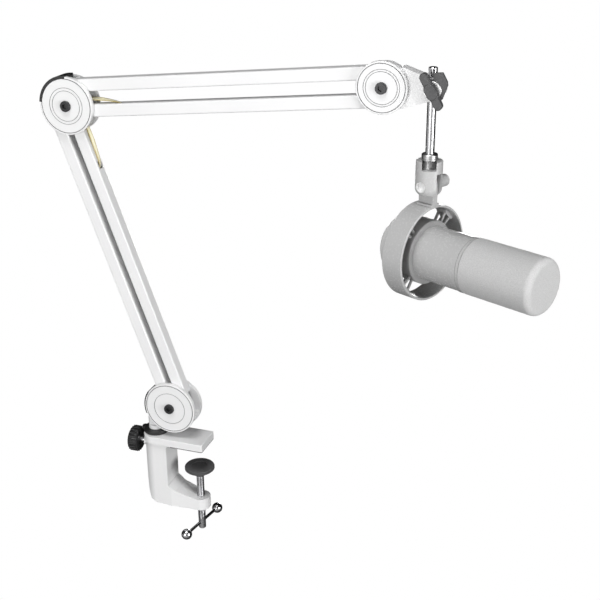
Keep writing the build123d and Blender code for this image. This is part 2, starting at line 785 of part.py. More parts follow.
def pivot_knob():
    start = knob_seat + 0.1
    plane = Plane(origin=pivot_point(start), z_dir=mic_side)
    knob = Cylinder(pivot_knob_radius, pivot_knob_length, align=(Align.CENTER, Align.CENTER, Align.MIN))
    knob = fillet(knob.edges().sort_by(Axis.Z)[-1:], 2.5)
    knob = fillet(knob.edges().sort_by(Axis.Z)[:1], 0.5)
    return plane * knob - cylinder(pivot_point(0), pivot_point(knob_seat + pivot_screw_grip), pivot_radius)


# ---- microphone -------------------------------------------------------------------------------------------
def yoke_ring():
    half = ring_width / 2
    inner = ring_inner
    ring = turned(
        [
            (inner, -half + 0.6),
            (inner + 0.6, -half),
            (ring_radius - 1.0, -half),
            (ring_radius, -half + 1.0),
            (ring_radius, half - 1.0),
            (ring_radius - 1.0, half),
            (inner + 0.6, half),
            (inner, half - 0.6),
        ],
        mic_plane,
    )
    tongue_length = mic_drop - ring_radius + 3
    tongue = mic_plane * Pos(0, mic_drop - tongue_length / 2, mic_set_back) * Box(
        tongue_thickness, tongue_length, tongue_width
    )
    foot = mic_plane * Pos(0, ring_radius, mic_set_back) * Box(tongue_thickness + 6, 4, tongue_width)
    tongue += cylinder(
        pivot_point(-tongue_thickness / 2), pivot_point(tongue_thickness / 2), tongue_width / 2
    )
    body = ring + (tongue + foot - mic_tube(inner + 0.5, 0, -half - 5, half + 5))
    return body - cylinder(pivot_point(-tongue_width), pivot_point(tongue_width), pivot_radius + running_gap)


def shock_struts():
    shapes = []
    inner = ring_inner
    for angle in strut_angles:
        place = mic_plane * Rot(0, 0, angle)
        clip = Pos(inner - 2.2, 0, 0) * Box(4.4, 17, 13)
        clip &= Cylinder(inner, 40)
        clip = chamfer(clip.edges().filter_by(Axis.Z).sort_by(Axis.X)[:2], 2)
        body = clip
        for offset in (-5.5, 5.5):
            for axial in (-4.2, 4.2):
                first = (cradle_radius - 1.5, offset * 0.55, axial)
                last = (inner - 3.6, offset, axial)
                body += cylinder(first, last, strut_radius)
        body -= Cylinder(cradle_radius, 40)
        shapes.append(place * body)
    return group(shapes)


def cradle_ring():
    half = cradle_width / 2
    return turned(
        [
            (body_radius, -half),
            (cradle_radius - 1.2, -half),
            (cradle_radius, -half + 1.2),
            (cradle_radius, half - 1.2),
            (cradle_radius - 1.2, half),
            (body_radius, half),
        ],
        mic_plane,
    )


def button_shape(gap, outer):
    """The touch button's oval on the body's curve, smaller all round by a gap."""
    length, width = button_size
    button = mic_plane * Pos(0, body_radius, button_place) * Rot(90, 0, 0) * extrude(
        SlotOverall(length - 2 * gap, width - 2 * gap, rotation=90), amount=12, both=True
    )
    return button & mic_tube(outer, body_radius - 0.8, button_place - length, button_place + length)


def body_shell():
    inner = body_radius - body_wall
    shell = mic_tube(body_radius, inner, -body_back, body_front)
    shell += mic_tube(inner + 0.2, inner - 1.2, body_front - 6, body_front - 2)
    return shell - button_shape(0, body_radius + 5)


def touch_button():
    return button_shape(0.1, body_radius + 0.35)


def rear_cap():
    cap = turned(
        [
            (body_radius - body_wall, -body_back + 4),
            (body_radius - body_wall, -body_back),
            (cap_radius, -body_back),
            (cap_radius, cap_back + 3),
            (cap_radius - 3, cap_back),
            (socket_radius, cap_back),
            (socket_radius, -body_back + 2),
            (body_radius - body_wall - 2, -body_back + 2),
            (body_radius - body_wall - 2, -body_back + 4),
        ],
        mic_plane,
    )
    hole = Cylinder(gain_shaft_radius + running_gap, cap_length + 6)
    return cap - mic_plane * Pos(0, -gain_drop, cap_back + cap_length / 2) * hole


def xlr_connector():
    """Three-pin male connector set in the rear cap."""
    back = cap_back
    inner = socket_radius - 2.3
    shell = mic_tube(socket_radius, inner, back + 0.4, back + socket_depth)
    floor = mic_tube(inner, 0, back + socket_depth - 3, back + socket_depth)
    pins = []
    for angle in (90, 210, 330):
        place = mic_plane * Rot(0, 0, angle) * Pos(4.2, 0, back + 3)
        pins.append(place * Cylinder(1.2, socket_depth - 6, align=(Align.CENTER, Align.CENTER, Align.MIN)))
    return group([shell + floor] + pins)


def gain_knob():
    base = (Align.CENTER, Align.CENTER, Align.MIN)
    place = mic_plane * Pos(0, -gain_drop, 0)
    knob = Pos(0, 0, cap_back - 5.3) * Cylinder(gain_radius, 5, align=base)
    knob = fillet(knob.edges().sort_by(Axis.Z)[:1], 0.6)
    shaft = Pos(0, 0, cap_back - 0.5) * Cylinder(gain_shaft_radius, cap_length, align=base)
    return place * (knob + shaft)


def trim_rings():
    middle = body_front + trim_step
    first = mic_tube(trim_radius, basket_inner - 2, body_front, middle)
    second = mic_tube(trim_radius - 0.5, basket_inner - 2, middle, body_front + trim_length)
    return group([first + second])


def grille_basket():
    inner = basket_inner
    outer = inner + basket_wall
    front = foam_end - foam_wall - 1
    tube = mic_tube(outer, inner, foam_start - foam_gap, front)
    return tube + mic_tube(outer, 0, front - basket_wall, front)


def capsule():
    """Large-diaphragm condenser capsule on its post."""
    front = foam_end - foam_wall - capsule_setback
    drum = mic_tube(capsule_radius, 0, front - capsule_length, front)
    drum = fillet(drum.edges().filter_by(GeomType.CIRCLE), 0.8)
    post = mic_tube(4, 0, foam_start - foam_gap, front - capsule_length + 1)
    disc = mic_tube(basket_inner - 1, 0, foam_start - foam_gap, foam_start + 2)
    return drum + post + disc


def circuit_board():
    board = mic_plane * Pos(0, 0, body_middle) * Box(2 * body_radius - 16, 1.6, body_front + body_back - 22)
    for place, size in (((-10, -15), 8), ((9, 10), 10), ((-6, 18), 6)):
        board += mic_plane * Pos(place[0], 2.4, body_middle + place[1]) * Box(size, 3.4, size)
    return board


def foam_windscreen():
    inner = foam_radius - foam_wall
    outline = Polyline(
        (inner, 0, foam_start),
        (foam_radius, 0, foam_start),
        (foam_radius, 0, foam_end - foam_round),
    )
    corner = (foam_radius - foam_round) + foam_round * math.sin(math.radians(45))
    rise = foam_end - foam_round + foam_round * math.cos(math.radians(45))
    arc = ThreePointArc(
        (foam_radius, 0, foam_end - foam_round),
        (corner, 0, rise),
        (foam_radius - foam_round, 0, foam_end),
    )
    rest = Polyline(
        (foam_radius - foam_round, 0, foam_end),
        (0, 0, foam_end),
        (0, 0, foam_end - foam_wall),
        (inner, 0, foam_end - foam_wall),
        (inner, 0, foam_start),
    )
    return mic_plane * revolve(make_face(outline + arc + rest), axis=Axis.Z)


# ---- build and save -----------------------------------------------------------------------------------
def build_clamp():
    save("clamp_frame", clamp_frame())
    save("jaw_pad", jaw_pad())
    save("socket_collar", socket_collar())
    knob, screw = lock_parts()
    save("lock_knob", knob)
    save("lock_screw", screw)
    save("pressure_pad", pressure_pad())
    save("pad_facing", pad_facing())
    save("clamp_spindle", clamp_spindle())
    save("tommy_bar", tommy_bar())


def build_hubs():
    base = (base_left_pin, base_right_pin)
    elbow = (elbow_left_pin, elbow_right_pin, elbow_top_pin, elbow_bottom_pin)
    head = (head_top_pin, head_bottom_pin)
    for name, hub, front, rear, pins, grooves in (
        ("base", base_hub, base_radius, base_radius, base, (21.1,)),
        ("elbow", elbow_hub, elbow_radius, elbow_radius - 1.5, elbow, (21.6, 18.0)),
        ("head", head_hub, head_radius, head_rear_radius, head, (19.9, 17.4)),
    ):
        plates = hub_plates(hub, front, rear, pins)
        covers = hub_covers(hub, front, rear, grooves)
        if name in walls:
            start, end, lip_end, cut = walls[name]
            save(f"{name}_wall", dust_wall(hub, front, start, end, lip_end, cut))
            plates = clear_lip(plates, hub, front, start, lip_end, cut)
            covers = clear_lip(covers, hub, front, start, lip_end, cut)
        save(f"{name}_plates", plates)
        save(f"{name}_covers", covers)
        save(f"{name}_bolt", hub_bolt(hub))
        save(f"{name}_pins", hub_pins(pins))
    save("base_bracket", base_bracket())
    save("head_bracket", head_bracket())


def build_bars():
    back = end_setback
    save("lower_left_bar", bar_tube(base_left_pin, elbow_left_pin, back, back))
    save("lower_left_ends", bar_fittings(base_left_pin, elbow_left_pin, back, back, rear_layer))
    slot_place = lower_length - lower_strap_entry - back
    save("lower_right_bar", bar_tube(base_right_pin, elbow_right_pin, back, back, (slot_place, -1)))
    save("lower_right_ends", bar_fittings(base_right_pin, elbow_right_pin, back, back, rear_layer))
    save("lower_spring", bar_spring(base_right_pin, elbow_right_pin, 60, lower_length - 85))
    start, entry = end_setback + 2, lower_strap_entry
    save("lower_strap", strap(elbow_right_pin, base_right_pin,
                              [(start, 3.0), (start + 8, 6.0), (entry - 3, 0.9), (entry + 5, -4.5),
                               (entry + 16, -bar_size / 2)]))
    save("upper_top_bar", bar_tube(elbow_top_pin, head_top_pin, -7.0, back))
    save("upper_top_ends", bar_fittings(elbow_top_pin, head_top_pin, -7.0, back, front_layer))
    slot_place = upper_strap_entry - back
    save("upper_bottom_bar", bar_tube(elbow_bottom_pin, head_bottom_pin, back, back, (slot_place, 1)))
    save("upper_bottom_ends", bar_fittings(elbow_bottom_pin, head_bottom_pin, back, back, front_layer))
    save("upper_spring", bar_spring(elbow_bottom_pin, head_bottom_pin, 72, upper_length - 60))
    entry = upper_strap_entry
    save("upper_strap", strap(elbow_bottom_pin, head_bottom_pin,
                              [(start, 6.8), (start + 7, 6.2), (entry - 2, 1.1), (entry + 6, -4.5),
                               (entry + 20, -bar_size / 2)]))


def build_head():
    save("eye_bolt", eye_bolt())
    save("clamp_washer", clamp_washer())
    save("clamp_jaw", clamp_jaw())
    save("wing_nut", wing_nut())
    save("hanger_rod", hanger_rod())
    save("thread_collar", thread_collar())


def build_microphone():
    save("mic_adapter", mic_adapter())
    save("pivot_screw", pivot_screw())
    save("pivot_knob", pivot_knob())
    save("yoke_ring", yoke_ring())
    save("shock_struts", shock_struts())
    save("cradle_ring", cradle_ring())
    save("body_shell", body_shell())
    save("touch_button", touch_button())
    save("rear_cap", rear_cap())
    save("xlr_connector", xlr_connector())
    save("gain_knob", gain_knob())
    save("trim_rings", trim_rings())
    save("grille_basket", grille_basket())
    save("capsule", capsule())
    save("circuit_board", circuit_board())
    save("foam_windscreen", foam_windscreen())


os.makedirs("parts", exist_ok=True)
build_clamp()
build_hubs()
build_bars()
build_head()
build_microphone()
print("base hub", base_hub, "elbow hub", elbow_hub, "head hub", head_hub)
print("pins", base_left_pin, base_right_pin, elbow_left_pin, elbow_right_pin)
print("pins", elbow_top_pin, elbow_bottom_pin, head_top_pin, head_bottom_pin)
print("rod", rod_x, "collar", rod_collar_top, "adapter", adapter_top, "pivot", pivot_z)
print("ring", ring_middle, "mic", mic_way, "side", mic_side)
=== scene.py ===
import bmesh
import bpy
import json
import math
from mathutils import Matrix, Vector, noise


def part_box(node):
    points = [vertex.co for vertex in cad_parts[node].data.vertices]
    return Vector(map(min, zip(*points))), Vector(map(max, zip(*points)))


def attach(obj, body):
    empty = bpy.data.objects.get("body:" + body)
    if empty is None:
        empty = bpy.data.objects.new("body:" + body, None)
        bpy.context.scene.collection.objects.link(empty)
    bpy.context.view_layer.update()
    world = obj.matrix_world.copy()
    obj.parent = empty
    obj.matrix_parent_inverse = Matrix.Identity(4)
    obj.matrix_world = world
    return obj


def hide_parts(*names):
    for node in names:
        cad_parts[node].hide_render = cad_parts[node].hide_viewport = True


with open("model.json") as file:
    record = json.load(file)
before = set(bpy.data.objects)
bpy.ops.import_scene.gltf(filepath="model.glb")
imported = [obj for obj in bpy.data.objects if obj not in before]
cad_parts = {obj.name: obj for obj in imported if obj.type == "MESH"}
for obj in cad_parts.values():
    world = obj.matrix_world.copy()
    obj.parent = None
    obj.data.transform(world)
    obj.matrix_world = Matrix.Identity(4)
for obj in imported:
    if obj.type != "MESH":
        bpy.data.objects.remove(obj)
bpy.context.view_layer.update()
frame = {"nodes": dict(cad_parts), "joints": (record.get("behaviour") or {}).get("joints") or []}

# ---- camera -------------------------------------------------------------------------------------------
# Stands high and to the right of the clamp and looks left across the arm, so that the front faces of the
# bars and hubs and the tops of the clamp and the microphone are seen.
camera_place = Vector((0.5431, -1.1540, 0.7376))
camera_yaw, camera_pitch, camera_roll = -0.33375, -0.39726, -0.00662
camera_lens = 66.1
ahead = Vector((
    math.sin(camera_yaw) * math.cos(camera_pitch),
    math.cos(camera_yaw) * math.cos(camera_pitch),
    math.sin(camera_pitch),
))
level = Vector((math.cos(camera_yaw), -math.sin(camera_yaw), 0))
above = level.cross(ahead)
sideways = level * math.cos(camera_roll) + above * math.sin(camera_roll)
upwards = above * math.cos(camera_roll) - level * math.sin(camera_roll)
camera = bpy.data.objects.new("camera", bpy.data.cameras.new("camera"))
bpy.context.collection.objects.link(camera)
camera.data.lens = camera_lens
camera.data.sensor_width = 36
camera.data.clip_start = 0.05
axes = Matrix((sideways, upwards, -ahead)).transposed()
camera.matrix_world = Matrix.Translation(camera_place) @ axes.to_4x4()
bpy.context.scene.camera = camera

# ---- floor and studio light ---------------------------------------------------------------------------
# A white floor a desk's height below the clamp and a white surround, both lighting less from behind the
# arm. Four soft panels light it too: the largest in front, the others to the right, overhead and behind.
def seen_or_lit(tree, seen, lit, output):
    """Shows one shader to the camera and lights the object with another."""
    ray = tree.nodes.new("ShaderNodeLightPath")
    chooser = tree.nodes.new("ShaderNodeMixShader")
    tree.links.new(ray.outputs["Is Camera Ray"], chooser.inputs["Fac"])
    tree.links.new(lit, chooser.inputs[1])
    tree.links.new(seen, chooser.inputs[2])
    tree.links.new(chooser.outputs["Shader"], output)


def ranged(tree, value, from_low, from_high, low, high):
    """Maps a value's range to low and high."""
    ranger = tree.nodes.new("ShaderNodeMapRange")
    limits = {"From Min": from_low, "From Max": from_high, "To Min": low, "To Max": high}
    for key, amount in limits.items():
        ranger.inputs[key].default_value = amount
    tree.links.new(value, ranger.inputs["Value"])
    return ranger


def along_y(tree, coordinates):
    """The Y part of a texture coordinate."""
    place = tree.nodes.new("ShaderNodeTexCoord")
    parts = tree.nodes.new("ShaderNodeSeparateXYZ")
    tree.links.new(place.outputs[coordinates], parts.inputs["Vector"])
    return parts.outputs["Y"]


floor_height = -0.74
floor_mesh = bpy.data.meshes.new("floor")
floor_mesh.from_pydata([(-12, -6, 0), (12, -6, 0), (12, 24, 0), (-12, 24, 0)], [], [(0, 1, 2, 3)])
floor = bpy.data.objects.new("floor", floor_mesh)
bpy.context.collection.objects.link(floor)
floor.location.z = floor_height
floor_finish = bpy.data.materials.new("floor_white")
floor_finish.use_nodes = True
floor_tree = floor_finish.node_tree
floor_tree.nodes.remove(floor_tree.nodes["Principled BSDF"])
bright = floor_tree.nodes.new("ShaderNodeEmission")
bright.inputs["Strength"].default_value = 1.0
glow = floor_tree.nodes.new("ShaderNodeEmission")
fade = ranged(floor_tree, along_y(floor_tree, "Object"), -1.6, -0.1, 0.65, 0.03)
floor_tree.links.new(fade.outputs["Result"], glow.inputs["Strength"])
seen_or_lit(floor_tree, bright.outputs["Emission"], glow.outputs["Emission"],
            floor_tree.nodes["Material Output"].inputs["Surface"])
floor_mesh.materials.append(floor_finish)

world = bpy.data.worlds.new("surround")
world.use_nodes = True
world_tree = world.node_tree
soft = world_tree.nodes["Background"]
plain = world_tree.nodes.new("ShaderNodeBackground")
plain.inputs["Color"].default_value = (1, 1, 1, 1)
falloff = ranged(world_tree, along_y(world_tree, "Generated"), -0.7, 0.35, 0.9, 0.06)
falloff.interpolation_type = "SMOOTHSTEP"
world_tree.links.new(falloff.outputs["Result"], soft.inputs["Strength"])
seen_or_lit(world_tree, plain.outputs["Background"], soft.outputs["Background"],
            world_tree.nodes["World Output"].inputs["Surface"])
bpy.context.scene.world = world
bpy.context.scene.view_settings.view_transform = "Standard"

aim = Vector((0.1, 0, 0.25))
for name, place, size, power in (
    ("front_light", (-0.6, -3.0, 0.6), 1.8, 49),
    ("right_light", (2.6, -0.9, 0.4), 1.2, 48),
    ("top_light", (0.1, -0.9, 2.6), 1.2, 38),
    ("back_light", (-0.4, 3.0, -0.2), 0.9, 30),
):
    lamp = bpy.data.lights.new(name, "AREA")
    lamp.size = size
    lamp.energy = power
    light = bpy.data.objects.new(name, lamp)
    bpy.context.collection.objects.link(light)
    light.location = place
    light.rotation_euler = (aim - Vector(place)).to_track_quat("-Z", "Y").to_euler()


# ---- clamp frame --------------------------------------------------------------------------------------
# One aluminium casting in white powder coat: a fine even orange-peel surface, a little greyer in patches,
# with painted shade darkening its seams. Its jaw, column and lower arm are the fixed root of everything
# else.
def new_finish(name, colour, roughness, metallic=0.0):
    """A material with its node tree and its shader."""
    material = bpy.data.materials.new(name)
    material.use_nodes = True
    shader = material.node_tree.nodes["Principled BSDF"]
    shader.inputs["Base Color"].default_value = (*colour, 1)
    shader.inputs["Roughness"].default_value = roughness
    shader.inputs["Metallic"].default_value = metallic
    return material, material.node_tree, shader


def noise_field(tree, scale, detail=3.0):
    """Noise on the piece's own coordinates, its scale in features a metre."""
    place = tree.nodes.new("ShaderNodeTexCoord")
    field = tree.nodes.new("ShaderNodeTexNoise")
    field.inputs["Scale"].default_value = scale
    field.inputs["Detail"].default_value = detail
    tree.links.new(place.outputs["Object"], field.inputs["Vector"])
    return field.outputs["Fac"]


def spread(tree, scale, low, high):
    """Noise whose middle range runs from low to high."""
    return ranged(tree, noise_field(tree, scale), 0.3, 0.7, low, high).outputs["Result"]


def vary_roughness(tree, shader, scale, low, high):
    """Makes the polish uneven."""
    tree.links.new(spread(tree, scale, low, high), shader.inputs["Roughness"])


def vary_colour(tree, shader, scale, first, second):
    """Mixes two near colours in soft patches."""
    mix = tree.nodes.new("ShaderNodeMix")
    mix.data_type = "RGBA"
    mix.inputs["A"].default_value = (*first, 1)
    mix.inputs["B"].default_value = (*second, 1)
    tree.links.new(spread(tree, scale, 0, 1), mix.inputs["Factor"])
    tree.links.new(mix.outputs["Result"], shader.inputs["Base Color"])
    return mix


def paint_seam_shade(tree, shader, colours, reach, shade_colour):
    """Paints shade into the bottoms of grooves and seams narrower than reach, as a darker colour."""
    # Painted shade: ambient occlusion blends the shade colour into creases and recesses.
    shade = tree.nodes.new("ShaderNodeAmbientOcclusion")
    shade.only_local = True
    shade.samples = 8
    shade.inputs["Distance"].default_value = reach
    mix = tree.nodes.new("ShaderNodeMix")
    mix.data_type = "RGBA"
    mix.inputs["A"].default_value = (*shade_colour, 1)
    tree.links.new(shade.outputs["AO"], mix.inputs["Factor"])
    tree.links.new(colours.outputs["Result"], mix.inputs["B"])
    tree.links.new(mix.outputs["Result"], shader.inputs["Base Color"])


def bumps(tree, shader, scale, strength, depth, detail=3.0):
    """Fine surface relief."""
    bump = tree.nodes.new("ShaderNodeBump")
    bump.inputs["Strength"].default_value = strength
    bump.inputs["Distance"].default_value = depth
    tree.links.new(noise_field(tree, scale, detail), bump.inputs["Height"])
    tree.links.new(bump.outputs["Normal"], shader.inputs["Normal"])


node = frame["nodes"]


def wear(material, *names):
    """Gives the plain solids of these names one finish."""
    for entry in names:
        mesh = node[entry].data
        mesh.materials.clear()
        mesh.materials.append(material)


white_coat, tree, shader = new_finish("white_powder_coat", (0.8, 0.8, 0.8), 0.3)
patches = vary_colour(tree, shader, 9, (0.79, 0.79, 0.795), (0.83, 0.83, 0.83))
# Painted shade: grooves and seams darken towards a dark grey.
paint_seam_shade(tree, shader, patches, 0.0022, (0.12, 0.12, 0.125))
vary_roughness(tree, shader, 400, 0.29, 0.33)
bumps(tree, shader, 1500, 0.25, 0.00008)
wear(white_coat, "clamp_frame")

# ---- jaw pad and pressure pad facing ------------------------------------------------------------------
# Thin dark rubber glued under the top jaw and in the pressure pad, matt, with a fine moulded grain.
dark_rubber, tree, shader = new_finish("dark_rubber", (0.1, 0.1, 0.102), 0.6)
patches = vary_colour(tree, shader, 120, (0.09, 0.09, 0.092), (0.115, 0.115, 0.117))
# Painted shade: grooves and seams darken almost to black.
paint_seam_shade(tree, shader, patches, 0.0012, (0.01, 0.01, 0.01))
bumps(tree, shader, 2600, 0.4, 0.0001)
wear(dark_rubber, "jaw_pad", "pad_facing")

# ---- swivel bush and dust walls -----------------------------------------------------------------------
# Black moulded nylon: the flanged bush pressed in the clamp, and the curved walls clipped between the
# plates of the base and elbow hubs. A little gloss, with a spark-eroded texture.
black_nylon, tree, shader = new_finish("black_nylon", (0.012, 0.012, 0.0125), 0.4)
vary_colour(tree, shader, 70, (0.01, 0.01, 0.0105), (0.016, 0.016, 0.0165))
vary_roughness(tree, shader, 300, 0.32, 0.5)
bumps(tree, shader, 3500, 0.3, 0.00005)
wear(black_nylon, "socket_collar", "base_wall", "elbow_wall")


# ---- lock knob ----------------------------------------------------------------------------------------
# Black nylon hand knob moulded on its screw: a turned core with a dished face and twenty rounded grip
# ribs. The core is a turned mesh, and the ribs are one rib set round a circle.
def node_tree(name, sockets):
    """An empty geometry tree with named inputs."""
    tree = bpy.data.node_groups.new(name, "GeometryNodeTree")
    tree.interface.new_socket("Geometry", in_out="OUTPUT", socket_type="NodeSocketGeometry")
    for label, kind in sockets.items():
        tree.interface.new_socket(label, in_out="INPUT", socket_type="NodeSocket" + kind)
    given = tree.nodes.new("NodeGroupInput")
    return tree, given, tree.nodes.new("NodeGroupOutput")


def finish_tree(tree, given, out, geometry):
    """Realises the instances and sets the material."""
    real = tree.nodes.new("GeometryNodeRealizeInstances")
    dress = tree.nodes.new("GeometryNodeSetMaterial")
    tree.links.new(geometry, real.inputs["Geometry"])
    tree.links.new(real.outputs["Geometry"], dress.inputs["Geometry"])
    tree.links.new(given.outputs["Material"], dress.inputs["Material"])
    tree.links.new(dress.outputs["Geometry"], out.inputs["Geometry"])


def grow(name, tree, values, place):
    """Runs a geometry tree once and keeps its result as a plain mesh, set in its place."""
    carrier = bpy.data.objects.new(name, bpy.data.meshes.new(name))
    bpy.context.collection.objects.link(carrier)
    modifier = carrier.modifiers.new("grow", "NODES")
    modifier.node_group = tree
    for item in tree.interface.items_tree:
        if item.in_out == "INPUT":
            modifier[item.identifier] = values[item.name]
    graph = bpy.context.evaluated_depsgraph_get()
    mesh = bpy.data.meshes.new_from_object(carrier.evaluated_get(graph))
    carrier.modifiers.remove(modifier)
    carrier.data = mesh
    mesh.transform(place)
    return carrier


mm = 0.001


def smooth(mesh, degrees=35):
    """Shades a mesh smooth, but keeps the edges that turn more than this."""
    mesh.polygons.foreach_set("use_smooth", [True] * len(mesh.polygons))
    mesh.set_sharp_from_angle(angle=math.radians(degrees))


def lathe(name, profile, steps, place, material):
    """Turns (radius, height) points in mm about a place's Z axis. A zero radius closes it."""
    points, rows = [], []
    for radius, height in profile:
        count = steps if radius > 0 else 1
        rows.append(range(len(points), len(points) + count))
        for index in range(count):
            turn = 2 * math.pi * index / steps
            points.append((radius * mm * math.cos(turn), radius * mm * math.sin(turn), height * mm))
    faces = []
    for low, high in zip(rows, rows[1:]):
        for index in range(steps if len(low) + len(high) > 2 else 0):
            after = (index + 1) % steps
            if len(low) == 1:
                faces.append((low[0], high[after], high[index]))
            elif len(high) == 1:
                faces.append((low[index], low[after], high[0]))
            else:
                faces.append((low[index], low[after], high[after], high[index]))
    mesh = bpy.data.meshes.new(name)
    mesh.from_pydata(points, [], faces)
    mesh.transform(place)
    mesh.materials.append(material)
    smooth(mesh)
    piece = bpy.data.objects.new(name, mesh)
    bpy.context.collection.objects.link(piece)
    return piece


def facing_along(point, way, side=(0, 0, 1)):
    """A place at a point, in metres, with its Z axis along a way."""
    z_axis = Vector(way).normalized()
    x_axis = Vector(side).cross(z_axis)
    if x_axis.length < 1e-6:
        x_axis = Vector((1, 0, 0))
    x_axis.normalize()
    frame_axes = Matrix((x_axis, z_axis.cross(x_axis), z_axis)).transposed()
    return Matrix.Translation(point) @ frame_axes.to_4x4()


def ring_of_ribs(name):
    """Rounded ribs set round a circle, standing along Z."""
    tree, given, out = node_tree(name, {
        "Count": "Int", "Circle": "Float", "Rib Radius": "Float", "Rib Length": "Float",
        "Material": "Material",
    })
    circle = tree.nodes.new("GeometryNodeMeshCircle")
    rib = tree.nodes.new("GeometryNodeMeshCylinder")
    rib.inputs["Vertices"].default_value = 12
    stand = tree.nodes.new("GeometryNodeInstanceOnPoints")
    tree.links.new(given.outputs["Count"], circle.inputs["Vertices"])
    tree.links.new(given.outputs["Circle"], circle.inputs["Radius"])
    tree.links.new(given.outputs["Rib Radius"], rib.inputs["Radius"])
    tree.links.new(given.outputs["Rib Length"], rib.inputs["Depth"])
    tree.links.new(circle.outputs["Mesh"], stand.inputs["Points"])
    tree.links.new(rib.outputs["Mesh"], stand.inputs["Instance"])
    finish_tree(tree, given, out, stand.outputs["Instances"])
    return tree


knob_low, knob_high = (Vector(corner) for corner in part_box("lock_knob"))
knob_middle = (knob_low + knob_high) / 2
knob_width = (knob_high.x - knob_low.x) / mm
knob_place = facing_along((knob_high.x, knob_middle.y, knob_middle.z), (-1, 0, 0))
knob_core = lathe("lock_knob_core", [
    (0, 0.4), (8, 0.4), (8.6, 0), (14.6, 0), (15.6, 0.6), (16, 1.6), (16, knob_width - 1.6),
    (15.6, knob_width - 0.5), (14.8, knob_width), (11.6, knob_width), (11, knob_width - 1.4),
    (5, knob_width - 1.4), (4.4, knob_width - 0.6), (0, knob_width - 0.6),
], 80, knob_place, black_nylon)
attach(knob_core, "lock")
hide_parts("lock_knob")
rib_tree = ring_of_ribs("ring_of_ribs")
knob_ribs = grow("lock_knob_ribs", rib_tree, {
    "Count": 20, "Circle": 15.7 * mm, "Rib Radius": 1.5 * mm,
    "Rib Length": (knob_width - 2.4) * mm, "Material": black_nylon,
}, knob_place @ Matrix.Translation((0, 0, knob_width / 2 * mm)))
smooth(knob_ribs.data)
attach(knob_ribs, "lock")

# ---- lock screw, pins, end fittings and eye bolt ------------------------------------------------------
# Zinc-plated steel, turned and milled, with faint cloudy plating.
zinc_steel, tree, shader = new_finish("zinc_steel", (0.55, 0.55, 0.56), 0.3, 1.0)
vary_colour(tree, shader, 45, (0.5, 0.5, 0.51), (0.62, 0.62, 0.63))
vary_roughness(tree, shader, 500, 0.24, 0.36)
wear(zinc_steel, "lock_screw", "base_pins", "elbow_pins", "head_pins", "eye_bolt",
     "lower_left_ends", "lower_right_ends", "upper_top_ends", "upper_bottom_ends")

# ---- pressure pad, rod clamp jaw and wing nut ---------------------------------------------------------
# Dark grey moulded nylon: the cup on the clamp screw's end, and the toothed jaw and wing nut that grip
# the hanging rod.
grey_nylon, tree, shader = new_finish("dark_grey_nylon", (0.07, 0.07, 0.072), 0.5)
vary_colour(tree, shader, 80, (0.06, 0.06, 0.062), (0.085, 0.085, 0.087))
vary_roughness(tree, shader, 400, 0.42, 0.58)
bumps(tree, shader, 3500, 0.3, 0.00005)
wear(grey_nylon, "pressure_pad", "clamp_jaw", "wing_nut")


# ---- clamp screw --------------------------------------------------------------------------------------
# M10 steel screw with a rolled thread and a plain end that the tommy bar slides through. The thread is one
# sheet wound round the axis, its radius rising and falling with the pitch, and the end is turned.
def calc(tree, operation, first, second=0.0):
    """One arithmetic step on node outputs or numbers."""
    step = tree.nodes.new("ShaderNodeMath")
    step.operation = operation
    for slot, value in enumerate((first, second)):
        if isinstance(value, (int, float)):
            step.inputs[slot].default_value = value
        else:
            tree.links.new(value, step.inputs[slot])
    return step.outputs[0]


